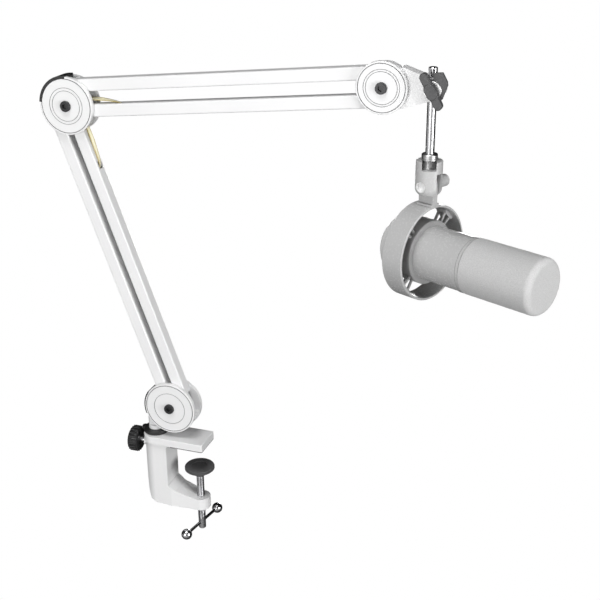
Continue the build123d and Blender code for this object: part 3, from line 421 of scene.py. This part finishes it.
def thread_tree(name):
    """A screw thread along Z from zero to its length, closed at both ends."""
    tree, given, out = node_tree(name, {
        "Radius": "Float", "Depth": "Float", "Pitch": "Float", "Length": "Float", "Around": "Int",
        "Rows": "Int", "Material": "Material",
    })
    sheet = tree.nodes.new("GeometryNodeMeshGrid")
    sheet.inputs["Size X"].default_value = 1
    sheet.inputs["Size Y"].default_value = 1
    tree.links.new(given.outputs["Around"], sheet.inputs["Vertices X"])
    tree.links.new(given.outputs["Rows"], sheet.inputs["Vertices Y"])
    position = tree.nodes.new("GeometryNodeInputPosition")
    parts = tree.nodes.new("ShaderNodeSeparateXYZ")
    tree.links.new(position.outputs["Position"], parts.inputs["Vector"])
    turn = calc(tree, "ADD", parts.outputs["X"], 0.5)
    share = calc(tree, "ADD", parts.outputs["Y"], 0.5)
    height = calc(tree, "MULTIPLY", share, given.outputs["Length"])
    from_end = calc(tree, "MINIMUM", height, calc(tree, "SUBTRACT", given.outputs["Length"], height))
    phase = calc(tree, "SUBTRACT", calc(tree, "DIVIDE", height, given.outputs["Pitch"]), turn)
    flank = calc(tree, "MULTIPLY", calc(tree, "PINGPONG", phase, 0.5), 2.0)
    crest = calc(tree, "MINIMUM", calc(tree, "MULTIPLY", flank, 1.2), 1.0)
    run_in = calc(tree, "MINIMUM", calc(tree, "DIVIDE", from_end, given.outputs["Pitch"]), 1.0)
    cut = calc(tree, "MULTIPLY", calc(tree, "MULTIPLY", calc(tree, "SUBTRACT", 1.0, crest), run_in),
               given.outputs["Depth"])
    not_end = calc(tree, "GREATER_THAN", from_end, 1e-7)
    radius = calc(tree, "MULTIPLY", calc(tree, "SUBTRACT", given.outputs["Radius"], cut), not_end)
    angle = calc(tree, "MULTIPLY", turn, 2 * math.pi)
    join = tree.nodes.new("ShaderNodeCombineXYZ")
    tree.links.new(calc(tree, "MULTIPLY", radius, calc(tree, "COSINE", angle)), join.inputs["X"])
    tree.links.new(calc(tree, "MULTIPLY", radius, calc(tree, "SINE", angle)), join.inputs["Y"])
    tree.links.new(height, join.inputs["Z"])
    wind = tree.nodes.new("GeometryNodeSetPosition")
    tree.links.new(sheet.outputs["Mesh"], wind.inputs["Geometry"])
    tree.links.new(join.outputs["Vector"], wind.inputs["Position"])
    close = tree.nodes.new("GeometryNodeMergeByDistance")
    close.inputs["Distance"].default_value = 1e-6
    tree.links.new(wind.outputs["Geometry"], close.inputs["Geometry"])
    finish_tree(tree, given, out, close.outputs["Geometry"])
    return tree


screw_threads = thread_tree("screw_thread")
screw_low, screw_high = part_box("clamp_spindle")
plain_end, screw_pitch = 17.5, 1.5
rows_a_turn = 10
thread_length = (screw_high[2] - screw_low[2]) / mm - plain_end
screw_thread = grow("clamp_screw_thread", screw_threads, {
    "Radius": 5 * mm, "Depth": 0.85 * mm, "Pitch": screw_pitch * mm, "Length": thread_length * mm,
    "Around": 49, "Rows": int(thread_length / screw_pitch * rows_a_turn), "Material": zinc_steel,
}, Matrix.Translation((0, 0, screw_low[2] + plain_end * mm)))
smooth(screw_thread.data, 60)
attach(screw_thread, "spindle")
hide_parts("clamp_spindle")
screw_end = lathe("clamp_screw_end", [
    (0, 0), (4.1, 0), (4.9, 0.8), (4.9, plain_end - 0.5), (4.3, plain_end), (0, plain_end),
], 48, Matrix.Translation((0, 0, screw_low[2])), zinc_steel)
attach(screw_end, "spindle")

# ---- tommy bar and hanging rod ------------------------------------------------------------------------
# Chromed steel, polished: the sliding bar with its two balls, and the rod that carries the microphone.
bright_chrome, tree, shader = new_finish("bright_chrome", (0.6, 0.6, 0.61), 0.22, 1.0)
vary_roughness(tree, shader, 200, 0.2, 0.25)
wear(bright_chrome, "tommy_bar", "hanger_rod")

# ---- hub plates, covers and brackets ------------------------------------------------------------------
# Pressed steel discs and their turned covers, with the post's bracket and the head bracket, all in the
# same white coat as the clamp. Its painted shade darkens the turned rings into thin dark lines.
wear(white_coat, "base_bracket", "base_plates", "base_covers", "elbow_plates", "elbow_covers",
     "head_plates", "head_covers", "head_bracket")

# ---- hub bolts ----------------------------------------------------------------------------------------
# Black-oxide socket-head screws with their nuts behind.
black_oxide, tree, shader = new_finish("black_oxide", (0.035, 0.035, 0.036), 0.3, 0.5)
vary_roughness(tree, shader, 300, 0.24, 0.4)
wear(black_oxide, "base_bolt", "elbow_bolt", "head_bolt")

# ---- bars ---------------------------------------------------------------------------------------------
# Four square steel tubes, powder coated after their slots were cut.
wear(white_coat, "lower_left_bar", "lower_right_bar", "upper_top_bar", "upper_bottom_bar")

# ---- balance springs ----------------------------------------------------------------------------------
# A tension spring, drawn out a little, inside the right lower bar and the bottom upper bar. Each is a wire
# swept along a helix, in the length that the fittings at the bar's ends leave it.
spring_steel, tree, shader = new_finish("oiled_spring_steel", (0.4, 0.4, 0.42), 0.32, 1.0)
vary_colour(tree, shader, 90, (0.34, 0.34, 0.36), (0.46, 0.46, 0.48))
coil_tree, given, out = node_tree("coil_spring", {
    "Turns": "Float", "Steps": "Int", "Coil Radius": "Float", "Wire Radius": "Float", "Length": "Float",
    "Material": "Material",
})
helix = coil_tree.nodes.new("GeometryNodeCurveSpiral")
wire = coil_tree.nodes.new("GeometryNodeCurvePrimitiveCircle")
wire.inputs["Resolution"].default_value = 6
sweep = coil_tree.nodes.new("GeometryNodeCurveToMesh")
sweep.inputs["Fill Caps"].default_value = True
for source, target in (
    ("Steps", helix.inputs["Resolution"]), ("Turns", helix.inputs["Rotations"]),
    ("Coil Radius", helix.inputs["Start Radius"]), ("Coil Radius", helix.inputs["End Radius"]),
    ("Length", helix.inputs["Height"]), ("Wire Radius", wire.inputs["Radius"]),
):
    coil_tree.links.new(given.outputs[source], target)
coil_tree.links.new(helix.outputs["Curve"], sweep.inputs["Curve"])
coil_tree.links.new(wire.outputs["Curve"], sweep.inputs["Profile Curve"])
finish_tree(coil_tree, given, out, sweep.outputs["Mesh"])
coil_pitch = 1.6
joint = {entry["name"]: entry for entry in frame["joints"]}
pin = {name: Vector(joint[name]["pos_m"])
       for name in ("lower_arm", "elbow_level", "upper_arm", "head_level")}
for name, body, start, end, near, far in (
    ("lower_spring", "lower_right", pin["lower_arm"], pin["elbow_level"], 60, 85),
    ("upper_spring", "upper_bottom", pin["upper_arm"], pin["head_level"], 72, 60),
):
    way = (end - start).normalized()
    length = (end - start).length / mm - near - far
    coil = grow(name + "_coil", coil_tree, {
        "Turns": length / coil_pitch, "Steps": 12, "Coil Radius": 4.1 * mm, "Wire Radius": 0.5 * mm,
        "Length": length * mm, "Material": spring_steel,
    }, facing_along(start + way * near * mm, way, (0, 1, 0)))
    smooth(coil.data, 80)
    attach(coil, body)
    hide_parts(name)

# ---- straps -------------------------------------------------------------------------------------------
# Thin pale yellow plastic bands that tie each spring to the elbow. Each leaves the elbow hub tilted, turns
# flat and goes into its bar's slot. The middle is painted paler as a highlight, and the edges are painted
# amber as shade of the colour seen deeper through them.
strap_plastic, tree, shader = new_finish("pale_yellow_strap", (0.94, 0.9, 0.66), 0.22)
# Painted light across the band: paler as a highlight in the middle, amber as shade at the edges.
across = tree.nodes.new("ShaderNodeAttribute")
across.attribute_name = "across"
highlight_edge_mask = ranged(tree, across.outputs["Fac"], 0.45, 0.95, 0, 1)
mix = vary_colour(tree, shader, 60, (0.96, 0.93, 0.74), (0.9, 0.84, 0.55))
amber_edge_shade = tree.nodes.new("ShaderNodeMix")
amber_edge_shade.data_type = "RGBA"
amber_edge_shade.inputs["B"].default_value = (0.5, 0.38, 0.1, 1)
tree.links.new(highlight_edge_mask.outputs["Result"], amber_edge_shade.inputs["Factor"])
tree.links.new(mix.outputs["Result"], amber_edge_shade.inputs["A"])
tree.links.new(amber_edge_shade.outputs["Result"], shader.inputs["Base Color"])
section = ((-1, -0.6), (-1, 0.6), (-0.88, 1.0), (-0.4, 1.0), (0.4, 1.0), (0.88, 1.0), (1, 0.6), (1, -0.6),
           (0.88, -1.0), (0.4, -1.0), (-0.4, -1.0), (-0.88, -1.0))
half_bar, half_thick, steps = 7.5, 0.35, 6
# A station is a distance along the bar, a height over its face, a width, all in mm, and a tilt in degrees.
for name, body, start, end, stations in (
    ("lower_strap", "lower_right", pin["elbow_level"], pin["lower_arm"],
     ((15, 2.2, 3.4, 45), (26, 2.8, 4.4, 42), (38, 2.8, 4.8, 34), (52, 2.1, 4.8, 20), (63, 1.3, 4.6, 6),
      (68, 0.4, 4.6, 0), (74, -3.6, 4.6, 0), (85, -7.5, 4.6, 0))),
    ("upper_strap", "upper_bottom", pin["upper_arm"], pin["head_level"],
     ((15, 6.0, 5.0, 50), (22, 5.8, 5.0, 44), (31, 4.8, 4.9, 34), (41, 3.1, 4.7, 18), (49, 1.4, 4.6, 5),
      (53, 0.2, 4.6, 0), (59, -3.8, 4.6, 0), (72, -7.5, 4.6, 0))),
):
    way = (end - start).normalized()
    outward = Vector((-way.z, 0, way.x))
    points = []
    for low, high in zip(stations, stations[1:]):
        last = high is stations[-1]
        for index in range(steps + last):
            share = index / steps
            along, off, width, tilt = (a + (b - a) * share for a, b in zip(low, high))
            middle = start + (way * along + outward * (half_bar + off)) * mm
            tilt = math.radians(tilt)
            flat = Vector((0, math.cos(tilt), 0)) + outward * math.sin(tilt)
            edge = way.cross(flat).normalized()
            for wide, thick in section:
                points.append(middle + (flat * wide * width / 2 + edge * thick * half_thick) * mm)
    around = len(section)
    rows = len(points) // around
    faces = [tuple(range(around)), tuple(reversed(range(len(points) - around, len(points))))]
    for row in range(rows - 1):
        first = row * around
        for index in range(around):
            after = (index + 1) % around
            faces.append((first + index, first + around + index, first + around + after, first + after))
    mesh = bpy.data.meshes.new(name + "_band")
    mesh.from_pydata(points, [], faces)
    marks = mesh.attributes.new("across", "FLOAT", "POINT")
    marks.data.foreach_set("value", [abs(wide) for wide, thick in section] * rows)
    mesh.materials.append(strap_plastic)
    work = bmesh.new()
    work.from_mesh(mesh)
    bmesh.ops.recalc_face_normals(work, faces=work.faces)
    work.to_mesh(mesh)
    work.free()
    smooth(mesh, 40)
    band = bpy.data.objects.new(name + "_band", mesh)
    bpy.context.collection.objects.link(band)
    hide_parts(name)
    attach(band, body)

# ---- rod clamp washer ---------------------------------------------------------------------------------
# Turned aluminium washer under the jaw, with faint tool marks.
washer_alloy, tree, shader = new_finish("washer_alloy", (0.72, 0.72, 0.72), 0.4, 0.85)
vary_roughness(tree, shader, 300, 0.3, 0.45)
wear(washer_alloy, "clamp_washer")

# ---- threaded collar ----------------------------------------------------------------------------------
# Nickel-plated collar at the rod's end, with the standard five-eighths microphone thread under it. The
# collar is turned, and its thread is grown like the clamp screw's, at 27 turns an inch.
nickel, tree, shader = new_finish("nickel_plate", (0.5, 0.5, 0.5), 0.36, 1.0)
vary_roughness(tree, shader, 400, 0.32, 0.42)
collar_low, collar_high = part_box("thread_collar")
collar_axis = ((collar_low[0] + collar_high[0]) / 2, 0)
collar_height = 7.1
thread_drop = (collar_high[2] - collar_low[2]) / mm - collar_height
collar = lathe("rod_collar", [
    (5, 0), (8.5, 0), (9, 0.5), (9, 1.6), (8.6, 1.9), (8.6, 2.3), (9, 2.6), (9, collar_height - 0.7),
    (8.3, collar_height), (5, collar_height),
], 72, Matrix.Translation((*collar_axis, collar_high[2] - collar_height * mm)), nickel)
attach(collar, "rod")
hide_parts("thread_collar")
mic_pitch = 0.94
mic_thread = grow("microphone_thread", screw_threads, {
    "Radius": 7.94 * mm, "Depth": 0.6 * mm, "Pitch": mic_pitch * mm, "Length": (thread_drop + 0.2) * mm,
    "Around": 73, "Rows": int(thread_drop / mic_pitch * rows_a_turn), "Material": nickel,
}, Matrix.Translation((*collar_axis, collar_low[2])))
smooth(mic_thread.data, 60)
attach(mic_thread, "rod")

# ---- microphone mount, ring and body ------------------------------------------------------------------
# Die-cast and turned aluminium in fine pale grey paint: the adapter with its pivot screw and knob, the yoke
# ring, the body tube, its rear cap and the two trim rings.
mic_paint, tree, shader = new_finish("pale_grey_paint", (0.51, 0.51, 0.51), 0.26)
patches = vary_colour(tree, shader, 12, (0.502, 0.502, 0.502), (0.518, 0.518, 0.518))
# Painted shade: grooves and seams darken towards a dark grey.
paint_seam_shade(tree, shader, patches, 0.0015, (0.2, 0.2, 0.2))
vary_roughness(tree, shader, 400, 0.26, 0.28)
bumps(tree, shader, 2500, 0.1, 0.00004)
wear(mic_paint, "mic_adapter", "pivot_knob", "yoke_ring", "body_shell", "rear_cap", "trim_rings")

# ---- pivot screw --------------------------------------------------------------------------------------
# Bright zinc-plated socket screw through the adapter's fork, nearly white, with its wide hexagon facing out.
bright_zinc, tree, shader = new_finish("bright_zinc", (0.93, 0.93, 0.93), 0.3, 0.3)
vary_roughness(tree, shader, 400, 0.26, 0.34)
wear(bright_zinc, "pivot_screw")

# ---- shock mount, touch button, socket and gain knob --------------------------------------------------
# Moulded grey nylon, a shade darker than the paint: the struts and cradle that hold the body in its ring,
# the plain oval button, the cable socket and the gain knob.
mic_nylon, tree, shader = new_finish("mid_grey_nylon", (0.42, 0.42, 0.42), 0.5)
vary_colour(tree, shader, 60, (0.4, 0.4, 0.4), (0.45, 0.45, 0.45))
vary_roughness(tree, shader, 200, 0.42, 0.58)
bumps(tree, shader, 3500, 0.3, 0.00005)
wear(mic_nylon, "shock_struts", "cradle_ring", "touch_button", "xlr_connector", "gain_knob")

# ---- grille basket ------------------------------------------------------------------------------------
# Perforated steel tube and plain front under the windscreen. One square tile with a round hole is set on a
# grid, the sheet is wound round the body's axis, and then it is given its thickness.
grille_steel, tree, shader = new_finish("grille_steel", (0.5, 0.5, 0.5), 0.35, 1.0)
vary_roughness(tree, shader, 300, 0.28, 0.42)
mic_way = Vector(joint["windscreen_pull"]["axis"]).normalized()
mic_side = Vector(joint["mic_tilt"]["axis"]).normalized()
ring_low, ring_high = (Vector(corner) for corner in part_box("cradle_ring"))
ring_middle = (ring_low + ring_high) / 2
mic_axes = Matrix((mic_side, Vector((0, 0, 1)), mic_way)).transposed()
mic_place = Matrix.Translation(ring_middle) @ mic_axes.to_4x4()
perforated, given, out = node_tree("perforated_tube", {
    "Radius": "Float", "Length": "Float", "Around": "Int", "Along": "Int", "Hole": "Float",
    "Thickness": "Float", "Material": "Material",
})
girth = calc(perforated, "MULTIPLY", given.outputs["Radius"], 2 * math.pi)
tile_wide = calc(perforated, "DIVIDE", girth, given.outputs["Around"])
tile_long = calc(perforated, "DIVIDE", given.outputs["Length"], given.outputs["Along"])
edge = perforated.nodes.new("GeometryNodeCurvePrimitiveQuadrilateral")
perforated.links.new(tile_wide, edge.inputs["Width"])
perforated.links.new(tile_long, edge.inputs["Height"])
hole = perforated.nodes.new("GeometryNodeCurvePrimitiveCircle")
hole.inputs["Resolution"].default_value = 12
perforated.links.new(given.outputs["Hole"], hole.inputs["Radius"])
both = perforated.nodes.new("GeometryNodeJoinGeometry")
perforated.links.new(edge.outputs["Curve"], both.inputs["Geometry"])
perforated.links.new(hole.outputs["Curve"], both.inputs["Geometry"])
tile = perforated.nodes.new("GeometryNodeFillCurve")
perforated.links.new(both.outputs["Geometry"], tile.inputs["Curve"])
grid = perforated.nodes.new("GeometryNodeMeshGrid")
perforated.links.new(calc(perforated, "SUBTRACT", girth, tile_wide), grid.inputs["Size X"])
perforated.links.new(calc(perforated, "SUBTRACT", given.outputs["Length"], tile_long), grid.inputs["Size Y"])
perforated.links.new(given.outputs["Around"], grid.inputs["Vertices X"])
perforated.links.new(given.outputs["Along"], grid.inputs["Vertices Y"])
lay = perforated.nodes.new("GeometryNodeInstanceOnPoints")
perforated.links.new(grid.outputs["Mesh"], lay.inputs["Points"])
perforated.links.new(tile.outputs["Mesh"], lay.inputs["Instance"])
flat_sheet = perforated.nodes.new("GeometryNodeRealizeInstances")
perforated.links.new(lay.outputs["Instances"], flat_sheet.inputs["Geometry"])
position = perforated.nodes.new("GeometryNodeInputPosition")
parts = perforated.nodes.new("ShaderNodeSeparateXYZ")
perforated.links.new(position.outputs["Position"], parts.inputs["Vector"])
angle = calc(perforated, "DIVIDE", parts.outputs["X"], given.outputs["Radius"])
wound = perforated.nodes.new("ShaderNodeCombineXYZ")
for operation, part in (("COSINE", "X"), ("SINE", "Y")):
    share = calc(perforated, operation, angle)
    perforated.links.new(calc(perforated, "MULTIPLY", given.outputs["Radius"], share), wound.inputs[part])
perforated.links.new(parts.outputs["Y"], wound.inputs["Z"])
wind = perforated.nodes.new("GeometryNodeSetPosition")
perforated.links.new(flat_sheet.outputs["Geometry"], wind.inputs["Geometry"])
perforated.links.new(wound.outputs["Vector"], wind.inputs["Position"])
close = perforated.nodes.new("GeometryNodeMergeByDistance")
close.inputs["Distance"].default_value = 2e-6
perforated.links.new(wind.outputs["Geometry"], close.inputs["Geometry"])
thick = perforated.nodes.new("GeometryNodeExtrudeMesh")
thick.inputs["Individual"].default_value = False
perforated.links.new(close.outputs["Geometry"], thick.inputs["Mesh"])
perforated.links.new(given.outputs["Thickness"], thick.inputs["Offset Scale"])
inside = perforated.nodes.new("GeometryNodeFlipFaces")
perforated.links.new(close.outputs["Geometry"], inside.inputs["Mesh"])
shell = perforated.nodes.new("GeometryNodeJoinGeometry")
perforated.links.new(thick.outputs["Mesh"], shell.inputs["Geometry"])
perforated.links.new(inside.outputs["Mesh"], shell.inputs["Geometry"])
seal = perforated.nodes.new("GeometryNodeMergeByDistance")
seal.inputs["Distance"].default_value = 2e-6
perforated.links.new(shell.outputs["Geometry"], seal.inputs["Geometry"])
finish_tree(perforated, given, out, seal.outputs["Geometry"])
basket_inner, basket_start, basket_end, basket_lip = 24.9, 72.6, 156.8, 1.5
basket = grow("perforated_basket", perforated, {
    "Radius": basket_inner * mm, "Length": (basket_end - basket_start - basket_lip) * mm, "Around": 48,
    "Along": 26, "Hole": 1.05 * mm, "Thickness": 0.8 * mm, "Material": grille_steel,
}, mic_place @ Matrix.Translation((0, 0, (basket_start + basket_end - basket_lip) / 2 * mm)))
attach(basket, "mic")
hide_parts("grille_basket")
basket_cap = lathe("basket_front", [
    (0, basket_end - 1), (24, basket_end - 1), (24.3, basket_end - 1.7), (25.8, basket_end - 1.7),
    (25.8, basket_end - 0.4), (25.2, basket_end), (0, basket_end),
], 72, mic_place, grille_steel)
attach(basket_cap, "mic")

# ---- capsule ------------------------------------------------------------------------------------------
# Turned brass drum of the large-diaphragm condenser capsule on its post, with eight small screws round its
# rim, which are one screw head set round a circle.
brass, tree, shader = new_finish("capsule_brass", (0.72, 0.52, 0.24), 0.3, 1.0)
vary_colour(tree, shader, 80, (0.68, 0.48, 0.22), (0.78, 0.58, 0.28))
vary_roughness(tree, shader, 300, 0.24, 0.36)
wear(brass, "capsule")
rim_height = 143.9
rim_screws = grow("capsule_screws", rib_tree, {
    "Count": 8, "Circle": 14.8 * mm, "Rib Radius": 0.9 * mm, "Rib Length": 1.0 * mm,
    "Material": zinc_steel,
}, mic_place @ Matrix.Translation((0, 0, rim_height * mm)))
smooth(rim_screws.data)
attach(rim_screws, "mic")

# ---- circuit board ------------------------------------------------------------------------------------
# Green lacquered glass-fibre board inside the body, with its parts soldered on.
board_green, tree, shader = new_finish("board_green", (0.03, 0.17, 0.07), 0.35)
vary_colour(tree, shader, 500, (0.025, 0.15, 0.06), (0.04, 0.2, 0.09))
wear(board_green, "circuit_board")

# ---- foam windscreen ----------------------------------------------------------------------------------
# Open-cell grey foam sleeve with a rounded front, pulled over the basket. It is a turned shell whose outside
# is pressed in here and there by fine noise, and its finish adds the pores.
foam_grey, tree, shader = new_finish("grey_foam", (0.56, 0.56, 0.56), 0.95)
vary_colour(tree, shader, 1100, (0.5, 0.5, 0.5), (0.63, 0.63, 0.63))
bumps(tree, shader, 1800, 0.7, 0.0003)
shader.inputs["Sheen Weight"].default_value = 0.1
foam_radius, foam_start, foam_end, foam_wall = 32.0, 72.9, 163.8, 5.9
lip_round, lip_steps = 0.9, 4
front_round, front_steps = 7.4, 14
row_height, flat_rows, foam_steps = 0.75, 30, 240
foam_inner = foam_radius - foam_wall
profile = [(foam_inner, foam_start)]
for step in range(lip_steps + 1):
    turn = step * math.pi / 2 / lip_steps
    profile.append((foam_radius - lip_round + lip_round * math.sin(turn),
                    foam_start + lip_round - lip_round * math.cos(turn)))
straight = foam_end - front_round - foam_start - lip_round
straight_rows = int(straight / row_height)
for row in range(1, straight_rows):
    profile.append((foam_radius, foam_start + lip_round + straight * row / straight_rows))
for step in range(front_steps + 1):
    turn = step * math.pi / 2 / front_steps
    profile.append((foam_radius - front_round + front_round * math.cos(turn),
                    foam_end - front_round + front_round * math.sin(turn)))
for row in range(1, flat_rows + 1):
    profile.append(((foam_radius - front_round) * (1 - row / flat_rows), foam_end))
foam = lathe("foam_sleeve", profile + [
    (0, foam_end - foam_wall), (foam_inner - 3, foam_end - foam_wall),
    (foam_inner, foam_end - foam_wall - 3), (foam_inner, foam_start + 2), (foam_inner, foam_start),
], foam_steps, Matrix.Identity(4), foam_grey)
pore_depth = 0.16
work = bmesh.new()
work.from_mesh(foam.data)
bmesh.ops.remove_doubles(work, verts=work.verts, dist=1e-6)
work.normal_update()
for vertex in work.verts:
    reach = math.hypot(vertex.co.x, vertex.co.y) / mm
    if reach > foam_inner + 0.5 or vertex.co.z / mm > foam_end - 0.5:
        grain = noise.noise(vertex.co * 520) + 0.6 * noise.noise(vertex.co * 1100)
        vertex.co += vertex.normal * (grain - 0.9) * pore_depth * mm
work.to_mesh(foam.data)
work.free()
foam.data.transform(mic_place)
smooth(foam.data, 80)
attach(foam, "windscreen")
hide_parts("foam_windscreen")
